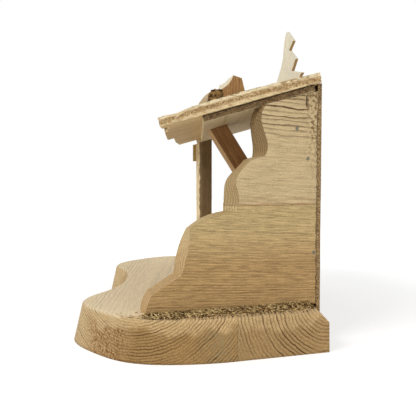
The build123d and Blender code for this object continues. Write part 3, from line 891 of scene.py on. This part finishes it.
class Chaff:
    """Small bits of straw gathered in one mesh, each with its tone, lying on the base."""

    def __init__(self):
        self.points = []
        self.faces = []
        self.tones = []
        self.chance = random.Random(CHAFF_SEED)
        corners = []
        sides = []
        for name in ("base_front_board", "base_rear_board"):
            mesh = nodes[name].data
            start = len(corners)
            corners.extend(vertex.co.copy() for vertex in mesh.vertices)
            sides.extend([start + edge_wear_and_highlight for edge_wear_and_highlight in side.vertices] for side in mesh.polygons)
        self.ground = BVHTree.FromPolygons(corners, sides)

    def on_top(self, spot):
        """Whether the base's flat top lies below a spot."""
        hit = self.ground.ray_cast(Vector((spot.x, spot.y, BASE_TOP + CHAFF_PROBE)), -UPWARD)[0]
        return hit is not None and hit.z > BASE_TOP - CHAFF_SLACK

    def sliver(self, heart, length, width, lift, tone):
        """A bit with two pointed ends, lying nearly level."""
        turn = self.chance.uniform(0, math.tau)
        run = Vector((math.cos(turn), math.sin(turn), self.chance.uniform(-lift, lift))).normalized()
        side = run.cross(UPWARD).normalized()
        over = side.cross(run)
        heart = heart.copy()
        heart.z = max(heart.z, BASE_TOP + abs(run.z) * length / 2 + width / 3)
        tail = heart - run * length / 2
        tip = heart + run * length / 2
        if not (self.on_top(tip) and self.on_top(tail)):
            return
        start = len(self.points)
        ring = (side, over, -side, -over)
        bit = [tail, *(heart + spoke * width / 2 for spoke in ring), tip]
        self.points.extend(bit)
        for index in range(len(ring)):
            here = start + 1 + index
            after = start + 1 + (index + 1) % len(ring)
            self.faces.append((start, after, here))
            self.faces.append((start + len(bit) - 1, here, after))
        self.tones.extend([tone] * len(bit))

    def bed(self):
        """Low ragged bed of crumbs against the wall, its rim sunk in the base."""
        start = len(self.points)
        plain, wavy = BED_WIDTH_SHARES
        for step in range(BED_STEPS + 1):
            foot = WALL_TOE + WALL_RUN * WALL_LENGTH * step / BED_STEPS
            width = BED_WIDTH * (plain + wavy * noise.noise(foot / BED_WIDTH_SIZE))
            while width > BED_LEAST_WIDTH and not self.on_top(foot + WALL_OUT * width):
                width -= BED_WIDTH_STEP
            taper = min(1.0, step / BED_TAPER, (BED_STEPS - step) / BED_TAPER)
            for lane in range(BED_LANES + 1):
                share = lane / BED_LANES
                spot = foot + WALL_OUT * (width * share - BED_SINK)
                lump = noise.noise(spot / BED_LUMP_SIZE) * BED_LUMP_SHARE
                swell = noise.noise(spot / BED_SWELL_SIZE) * BED_SWELL_SHARE
                ragged = max(BED_LEAST_SHARE, BED_HEIGHT_SHARE + lump + swell)
                height = BED_HEIGHT * ragged * (1 - share) * taper
                self.points.append(spot + UPWARD * (height - BED_SINK * (share == 1 or taper == 0)))
                pale = max(0.0, noise.noise(spot / BED_TONE_SIZE) + BED_TONE_BIAS)
                self.tones.append(BED_TONE + BED_TONE_SHARE * pale)
        for step in range(BED_STEPS):
            for lane in range(BED_LANES):
                here = start + step * (BED_LANES + 1) + lane
                up = here + BED_LANES + 1
                self.faces.append((here, here + 1, up + 1, up))

    def scatter(self, count, lengths, widths, lift, tones):
        """Bits thrown along the wall's foot, thinning out away from it."""
        pick = self.chance
        for _ in range(count):
            out = abs(pick.gauss(0, CHAFF_REACH))
            thinning = max(BED_LEAST_SHARE, 1 - out / BED_WIDTH)
            rise = pick.uniform(*CHAFF_RISE_SHARES) * BED_HEIGHT * thinning
            spot = WALL_TOE + WALL_RUN * pick.uniform(*CHAFF_RUN_SHARES) * WALL_LENGTH
            spot += WALL_OUT * (out + CHAFF_GAP) + UPWARD * rise
            self.sliver(spot, pick.uniform(*lengths), pick.uniform(*widths), lift, pick.uniform(*tones))

    def sprinkle(self):
        """Fine bits strewn on the base before the wall's toe."""
        pick = self.chance
        for _ in range(SPRINKLE_COUNT):
            spot = WALL_TOE + WALL_RUN * pick.uniform(*SPRINKLE_RUN) + WALL_OUT * pick.uniform(*SPRINKLE_OUT)
            length = pick.uniform(*SPRINKLE_LENGTHS)
            width = pick.uniform(*SPRINKLE_WIDTHS)
            self.sliver(spot, length, width, SPRINKLE_LIFT, pick.uniform(*SPRINKLE_TONES))

    def make(self):
        self.bed()
        self.scatter(CRUMB_COUNT, CRUMB_LENGTHS, CRUMB_WIDTHS, CRUMB_LIFT, CRUMB_TONES)
        self.scatter(STRAW_COUNT, STRAW_LENGTHS, STRAW_WIDTHS, STRAW_LIFT, STRAW_TONES)
        self.sprinkle()
        mesh = bpy.data.meshes.new("wall_chaff")
        mesh.from_pydata(self.points, [], self.faces)
        layer = mesh.attributes.new("tone", "FLOAT", "POINT")
        layer.data.foreach_set("value", self.tones)
        add_piece("wall_chaff", mesh, chaff_straw())


def make_camera():
    """Camera looking at the wall's outer side, swung and dropped a little."""
    drop = math.atan(DROP_PIXELS / FOCAL_PIXELS)
    swing = math.atan(SWING_PIXELS / FOCAL_PIXELS)
    level = Vector((-math.cos(swing), math.sin(swing), 0))
    forward = level * math.cos(drop) - UPWARD * math.sin(drop)
    right = Vector((math.sin(swing), math.cos(swing), 0))
    up = right.cross(forward)
    data = bpy.data.cameras.new("camera")
    data.sensor_width = SENSOR_WIDTH
    data.lens = FOCAL_PIXELS / IMAGE_PIXELS * SENSOR_WIDTH
    data.clip_start = MM
    camera = bpy.data.objects.new("camera", data)
    turn = Matrix((right, up, -forward)).transposed().to_4x4()
    camera.matrix_world = Matrix.Translation(CAMERA_PLACE) @ turn
    bpy.context.scene.collection.objects.link(camera)
    bpy.context.scene.camera = camera


def make_lamp(name, place, size, power):
    """Soft round lamp turned to the middle of the object."""
    data = bpy.data.lights.new(name, "AREA")
    data.shape = "DISK"
    data.size = size
    data.energy = power
    lamp = bpy.data.objects.new(name, data)
    lamp.location = place
    lamp.rotation_euler = (UPWARD * cad_high.z / 2 - place).to_track_quat("-Z", "Y").to_euler()
    bpy.context.scene.collection.objects.link(lamp)


def make_world():
    """Even soft light, seen as plain white by the camera and in reflections."""
    s = Shader(bpy.data.worlds.new("studio"))
    strength = s.blend(s.seen(), WORLD_STRENGTH, WORLD_SEEN_STRENGTH)
    back = s.node("Background", {"Color": WHITE, "Strength": strength}).outputs[0]
    s.node("OutputWorld", {"Surface": back})
    bpy.context.scene.world = s.block


def make_floor():
    """Plain white floor that keeps the object's shadow, seen brighter away from it."""
    half = FLOOR_SIZE / 2
    mesh = bpy.data.meshes.new("floor")
    corners = [(-half, -half, 0), (half, -half, 0), (half, half, 0), (-half, half, 0)]
    mesh.from_pydata(corners, [], [(0, 1, 2, 3)])
    floor = bpy.data.objects.new("floor", mesh)
    floor.location.z = cad_low.z
    s = new_shader("floor_white")
    seen = s.seen()
    tone = s.blend(seen, FLOOR_TONE, FLOOR_SEEN_TONE)
    cloth = s.node("BsdfDiffuse", {"Color": s.scaled(WHITE, tone)}).outputs[0]
    lit = s.spread(s.length(s.place()), FLOOR_NEAR, FLOOR_FAR, FLOOR_NEAR_GLOW, FLOOR_FAR_GLOW)
    glow = s.node("Emission", {"Strength": s.times(seen, lit)}).outputs[0]
    both = s.node("AddShader", {0: cloth, 1: glow}).outputs[0]
    s.node("OutputMaterial", {"Surface": both})
    mesh.materials.append(s.block)
    bpy.context.scene.collection.objects.link(floor)


def base_tint(low_shares):
    """Pale rim over a browner, rougher lower part, front faces paler as painted light, and a cream top."""

    def tint(s, place, normal, colour):
        spot = s.axes(place)
        wobbly = s.plus(spot["Z"], s.jitter(place, BASE_WOBBLE_SIZE, BASE_WOBBLE))
        low = s.spread(wobbly, BASE_TOP - BASE_RIM_DEPTH, BASE_TOP - BASE_LOW_DEPTH)
        low = s.times(low, s.facing(normal, UPWARD, BASE_SIDE_COSINES))
        brown = s.times(low, s.facing(normal, FRONTWARD, BASE_BROWN_COSINES))
        colour = s.mix(brown, colour, s.tinted(colour, low_shares))
        # Painted light: faces that look to the front are made paler.
        painted_front_light = s.facing(normal, FRONTWARD, FRONT_LIGHT_COSINES)
        colour = s.mix(painted_front_light, colour, s.tinted(colour, FRONT_LIGHT_SHARES))
        specks = s.noise(place, BASE_SPECK_SIZE, SOME, ROUGH)
        rough = s.times(s.band(spot["Y"], *ROUGH_BAND), s.spread(specks, *ROUGH_LEVELS))
        ragged = s.scaled(ROUGH_TONE, s.spread(specks, *ROUGH_TONE_LEVELS, *ROUGH_TONE_SHARES))
        colour = s.mix(s.times(rough, low), colour, ragged)
        stained = s.spread(specks, *STAIN_LEVELS, 0, STAIN_SHARE)
        stain = s.times(s.band(spot["Y"], *STAIN_BAND), stained)
        colour = s.mix(s.times(stain, low), colour, STAIN_TONE)
        inside = s.spread(s.along(place, WALL_TOE, WALL_OUT), 0, -CREAM_FADE, CREAM_OUTSIDE_SHARE, 1)
        cream = s.mix(CREAM_TONE_SHARE, s.tinted(colour, CREAM_SHARES), CREAM_TONE)
        return s.mix(s.times(s.facing(normal, UPWARD, CREAM_COSINES), inside), colour, cream)

    return tint


def dress_base():
    """Two boards with their end grain to the sides."""
    for name, pith, ring, low_shares in (
        ("base_front_board", BASE_FRONT_PITH, BASE_FRONT_RING, BASE_FRONT_LOW_SHARES),
        ("base_rear_board", BASE_REAR_PITH, BASE_REAR_RING, BASE_REAR_LOW_SHARES),
    ):
        material = wood(
            name + "_wood",
            BASE_TONES,
            ACROSS,
            pith,
            ring,
            contrast=BASE_CONTRAST,
            end_tone=BASE_END_TONE,
            arris=BASE_ARRIS,
            tint=base_tint(low_shares),
        )
        dress(name, material)


def splintered(s, place):
    """Broken end fibres: cream with dark cracks between them."""
    flecks = s.noise(place, SPLINTER_SIZE, SOME, ROUGH)
    return s.mix(s.spread(flecks, *SPLINTER_LEVELS), *SPLINTER_TONES)


def rear_joint(s, place, colour):
    """Dark, ragged joint line where the wall meets the back panel."""
    depth = s.along(place, PANEL_FRONT, -FRONTWARD)
    ragged = s.plus(depth, s.jitter(place, JOINT_SIZE, JOINT_RAGGED))
    return s.mix(s.spread(ragged, *JOINT_DEPTHS, 0, JOINT_SHARE), colour, JOINT_DARK)


def carved_lines(s, place):
    """Light and dark of the bent lines that the wall's carved front shows."""
    slant = s.times(s.dot(place, UPWARD), CARVED_SLANT)
    bend = s.times(s.noise(place, CARVED_BEND_SIZE, FEW), CARVED_BEND)
    across = s.plus(s.plus(s.dot(place, WALL_OUT), slant), bend)
    within = s.math("FRACT", s.math("DIVIDE", across, CARVED_GAP))
    return s.spread(s.math("ABSOLUTE", s.centred(within)), *CARVED_LEVELS, *CARVED_SHARES)


def lower_tint(s, place, normal, colour):
    """Greyer upper part, paler carved front and dark rear joint."""
    greyer = s.spread(s.axes(place)["Z"], *LOWER_GREY_HEIGHTS)
    colour = s.mix(greyer, colour, s.tinted(colour, LOWER_GREY_SHARES))
    carved = s.facing(normal, WALL_RUN, CARVED_COSINES)
    front = s.scaled(s.tinted(colour, LOWER_FRONT_SHARES), carved_lines(s, place))
    return rear_joint(s, place, s.mix(carved, colour, front))


def upper_tint(s, place, normal, colour):
    """Brown carved front, its lobe darker still as painted shade under the roof, stains above the seam,
    broken fibres at the rear and dark joints.
    """
    high = s.axes(place)["Z"]
    carved = s.facing(normal, WALL_RUN, CARVED_COSINES)
    riser = s.tinted(colour, RISER_SHARES)
    # Darker end grain on the riser; the lobe above it is darker still as painted shade under the roof.
    lobe_shade = s.tinted(colour, LOBE_SHADE_SHARES)
    front = s.mix(s.spread(high, SEAM_HEIGHT + LOBE_START_RISE, SEAM_HEIGHT + LOBE_FULL_RISE), riser, lobe_shade)
    colour = s.mix(carved, colour, s.scaled(front, carved_lines(s, place)))
    outer = s.facing(normal, WALL_OUT, LOOKS_STRAIGHT)
    above_seam = s.plus(s.math("SUBTRACT", high, SEAM_HEIGHT), s.jitter(place, SEAM_SWAY_SIZE, SEAM_SWAY))
    upper_line = s.times(s.band(above_seam, *SEAM_UPPER_LINE), SEAM_UPPER_SHARE)
    stain = s.math("MAXIMUM", s.band(above_seam, *SEAM_LINE), upper_line)
    colour = s.mix(s.times(outer, s.times(stain, SEAM_STAIN_SHARE)), colour, SEAM_STAIN)
    rearmost = s.spread(s.along(place, PANEL_FRONT, -FRONTWARD), *BROKEN_DEPTHS)
    broken = s.times(rearmost, s.spread(high, *BROKEN_HEIGHTS, *BROKEN_SHARES))
    colour = s.mix(s.times(outer, broken), colour, splintered(s, place))
    slot = s.band(s.along(place, Vector((0, RAIL_LOW.y, 0)), -FRONTWARD), *SLOT_LINE)
    slot_low = RAIL_LOW.z + SLOT_START_RISE
    slot_high = RAIL_LOW.z + SLOT_END_RISE
    slot = s.times(slot, s.band(high, slot_low, slot_high, SLOT_FADE))
    return rear_joint(s, place, s.mix(slot, colour, SLOT_DARK))


def upper_strength(s, place):
    """Growth rings that show just above the seam, and at the top, where their stronger dark lines are partly
    painted shade under the roof.
    """
    high = s.axes(place)["Z"]
    # Ring lines grow stronger toward the top, partly as painted shade under the roof.
    top = s.spread(high, *UPPER_TOP_HEIGHTS, *UPPER_TOP_RING_SHADE_SHARES)
    foot = s.spread(high, SEAM_HEIGHT, SEAM_HEIGHT + UPPER_FOOT_RISE, UPPER_FOOT_SHARE, 0)
    return s.math("MAXIMUM", top, foot)


def dress_wall():
    """Browner lower board, and a paler upper board with strong lines only near its ends."""
    lower = wood(
        "wall_lower_wood",
        LOWER_TONES,
        WALL_GRAIN,
        WALL_TOE + WALL_OUT * LOWER_PITH_OUT - UPWARD * LOWER_PITH_DROP,
        ring=LOWER_RING,
        waver=LOWER_WAVER,
        contrast=LOWER_CONTRAST,
        fibre=LOWER_FIBRE,
        end_tone=WALL_END_TONE,
        end_rings=LOWER_END_RINGS,
        edge=WALL_EDGE,
        tint=lower_tint,
    )
    dress("right_wall_lower_board", lower)
    upper = wood(
        "wall_upper_wood",
        UPPER_TONES,
        WALL_GRAIN,
        WALL_TOE - WALL_OUT * UPPER_PITH_IN + UPWARD * UPPER_PITH_RISE,
        ring=UPPER_RING,
        waver=UPPER_WAVER,
        contrast=UPPER_CONTRAST,
        fibre=UPPER_FIBRE,
        end_tone=WALL_END_TONE,
        end_rings=UPPER_END_RINGS,
        edge=WALL_EDGE,
        strength=upper_strength,
        tint=upper_tint,
    )
    dress("right_wall_upper_board", upper)


def post_tint(s, place, normal, colour):
    """Dark inner face as painted shade, behind a pale ragged strip at the front that stands for a lit
    chamfer as painted light.
    """
    lit_strip_depth = s.along(place, Vector((0, POST_LOW.y, 0)), -FRONTWARD)
    ragged = s.plus(lit_strip_depth, s.jitter(place, LIT_STRIP_SIZE, LIT_STRIP_RAGGED))
    # Painted shade on the inner face, except a pale strip at its front kept as painted light.
    inner_shade = s.times(s.facing(normal, ACROSS, LOOKS_TOWARD), s.spread(ragged, *LIT_STRIP_DEPTHS))
    return s.mix(inner_shade, colour, s.tinted(colour, POST_INNER_SHADE_SHARES))


def rail_tint(s, place, normal, colour):
    """Splintered end that shows in the wall's notch."""
    end = s.facing(normal, ACROSS, LOOKS_STRAIGHT, 0, RAIL_END_SHARE)
    return s.mix(end, colour, splintered(s, place))


def dress_frame():
    """Posts, batten, rail and cleat."""
    for name, grain, tint in (
        ("right_corner_batten", UPWARD, None),
        ("rear_left_post", UPWARD, None),
        ("rear_top_rail", ACROSS, rail_tint),
    ):
        pith = middle(name) + FRAME_PITH_OFFSET
        dress(name, wood(name + "_wood", FRAME_TONES, grain, pith, tint=tint))
    pith = middle("front_left_post") + POST_PITH_OFFSET
    post = wood("post_wood", POST_TONES, UPWARD, pith, contrast=FAINT_CONTRAST, tint=post_tint)
    dress("front_left_post", post)
    pith = middle("post_cleat") + WALL_OUT * CLEAT_PITH_OUT
    dress("post_cleat", wood("cleat_wood", CLEAT_TONES, UPWARD, pith))


def board_tint(s, place, normal, colour):
    """Worn brown middle and bright upper rim on the side, part worn edge and part painted highlight, paler
    below.
    """
    run = s.along(place, BOARD_FOOT - SLOPE_RUN * BOARD_LENGTH / 2, SLOPE_RUN)
    share = s.math("DIVIDE", run, BOARD_LENGTH / 2)
    crown = s.times(s.times(share, share), BOARD_CROWN)
    height = s.plus(s.along(place, BOARD_FOOT, SLOPE_OUT), crown)
    near = s.facing(normal, ACROSS, LOOKS_TOWARD)
    chips = s.noise(place, CHIP_SIZE, SOME, ROUGHER)
    worn = s.times(s.band(height, *WORN_BAND), s.spread(chips, *WORN_LEVELS, *WORN_SHARES))
    brown = s.scaled(WORN_TONE, s.spread(chips, *WORN_TONE_LEVELS, *WORN_TONE_SHARES))
    colour = s.mix(s.times(near, worn), colour, brown)
    # Bright upper rim: part worn edge, part painted highlight of the lit top.
    rim_highlight = s.times(near, s.spread(height, *RIM_HIGHLIGHT_HEIGHTS, 0, RIM_HIGHLIGHT_SHARE))
    colour = s.mix(rim_highlight, colour, RIM_HIGHLIGHT_TONE)
    below = s.facing(normal, SLOPE_OUT, LOOKS_AWAY)
    return s.mix(below, colour, s.tinted(colour, BOARD_BELOW_SHARES))


def underlay_tint(s, place, normal, colour):
    """Painted shadow line under the boards, flecked side with painted light and shade from eave to rear,
    pale front and underside.
    """
    # Painted shadow where the boards overhang the underlay.
    line = s.band(s.along(place, BOARD_FOOT, SLOPE_OUT), *UNDERLAY_SHADOW_LINE)
    colour = s.scaled(colour, s.blend(line, 1, UNDERLAY_SHADOW_SHARE))
    near = s.facing(normal, ACROSS, LOOKS_TOWARD)
    flecks = s.noise(place, FLECK_SIZE, SOME, ROUGHER)
    flecks = s.spread(flecks, *FLECK_LEVELS, *FLECK_SHARES)
    # Painted light and shade on the side: lighter toward the eave, darker toward the rear.
    run = s.along(place, BOARD_FOOT, SLOPE_RUN)
    painted_light_shade = s.spread(run, *UNDERLAY_SHADE_RUN, *UNDERLAY_SHADE_SHARES)
    colour = s.mix(near, colour, s.scaled(colour, s.times(flecks, painted_light_shade)))
    colour = s.mix(s.facing(normal, SLOPE_RUN, UNDERLAY_FRONT_COSINES), colour, UNDERLAY_FRONT)
    clouds = s.vary(s.noise(place, BELOW_SIZE), *BELOW_SHARES)
    return s.mix(s.facing(normal, SLOPE_OUT, LOOKS_AWAY), colour, s.scaled(UNDERLAY_BELOW, clouds))


def dress_roof():
    """Torn roof boards on a brown-edged underlay with a pale underside."""
    for index in range(BOARD_COUNT):
        name = f"roof_board_{index + 1}"
        low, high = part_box(name)
        pith = middle(name) + ACROSS * (index - BOARD_COUNT // 2) * PITH_STEP
        pith -= SLOPE_OUT * (PITH_DEPTH + PITH_DEPTH_STEP * index)
        material = wood(
            name + "_wood",
            BOARD_TONES,
            SLOPE_RUN,
            pith,
            contrast=BOARD_CONTRAST,
            tint=board_tint,
            torn_tone=BOARD_TORN,
        )
        lanes = math.ceil((high.x - low.x) / TEAR_STEP)
        cuts = slope_cuts(low, high, BOARD_FOOT, BOARD_THICK)
        cuts.append((Vector((low.x, 0, 0)), ACROSS, TEAR_STEP, lanes))
        side_tear = OTHER_SIDE_TEAR if index else FIRST_SIDE_TEAR
        tear(name, material, cuts, BOARD_END_TEAR, side_tear)
    material = wood(
        "underlay_wood",
        UNDERLAY_TONES,
        ACROSS,
        middle("roof_underlay") - SLOPE_OUT * UNDERLAY_PITH_DEPTH,
        tint=underlay_tint,
        torn_tone=UNDERLAY_TORN,
    )
    cuts = slope_cuts(UNDERLAY_LOW, UNDERLAY_HIGH, UNDERLAY_FOOT, UNDERLAY_THICK)
    tear("roof_underlay", material, cuts, 0, UNDERLAY_SIDE_TEAR)


def prop_tint(s, place, normal, colour):
    """Front face paler as painted light."""
    # Painted light: faces that look to the front are made paler.
    front = s.facing(normal, FRONTWARD, PROP_FRONT_LIGHT_COSINES)
    return s.mix(front, colour, s.tinted(colour, PROP_FRONT_LIGHT_SHARES))


def stub_tint(s, place, normal, colour):
    """Pale oblique cut."""
    return s.mix(s.facing(normal, STUB_CUT_OUT, STUB_CUT_COSINES), colour, STUB_CUT)


def tree_tint(s, place, normal, colour):
    """Painted shade: brown on the undersides of the teeth, which look down."""
    # Painted shade on faces that look down and toward +X.
    return s.mix(s.facing(normal, TREE_TEETH_OUT, TREE_TEETH_SHADE_COSINES), colour, TREE_TEETH_SHADE)


def dress_roof_pieces():
    """Prop, stub, billet and tree."""
    pith = middle("roof_prop") + ACROSS * PROP_PITH_ACROSS
    prop = wood("prop_stain_and_front_light", PROP_TONES, PROP_RUN, pith, ring=PROP_RING, tint=prop_tint)
    dress("roof_prop", prop)
    pith = middle("roof_stub") + STUB_PITH_OFFSET
    stub = wood("stub_stain", STUB_TONES, UPWARD, pith, ring=STUB_RING, tint=stub_tint)
    dress("roof_stub", stub)
    pith = Vector((0, BILLET_HIGH.y, BILLET_HIGH.z))
    billet = wood("billet_wood", BILLET_TONES, ACROSS, pith, contrast=FAINT_CONTRAST)
    dress("split_billet", billet)
    tree = wood(
        "tree_wood",
        TREE_TONES,
        UPWARD,
        middle("fir_tree") + TREE_PITH_OFFSET,
        contrast=FAINT_CONTRAST,
        fibre=TREE_FIBRE,
        tint=tree_tint,
    )
    dress("fir_tree", tree)


def dress_nails():
    """Brads of the wall and nails of the panel, in one steel."""
    nail = steel()
    dress("wall_brads", nail)
    dress("panel_nails", nail)


make_camera()
make_world()
make_lamp("key", KEY_PLACE, KEY_SIZE, KEY_POWER)
make_lamp("fill", FILL_PLACE, FILL_SIZE, FILL_POWER)
make_floor()
dress_base()
dress_wall()
dress_frame()
dress_roof()
dress_roof_pieces()
dress("back_panel", fibreboard())
dress_nails()
make_bark_pole()
make_post_glue()
Chaff().make()

bpy.context.scene.view_settings.view_transform = "Standard"
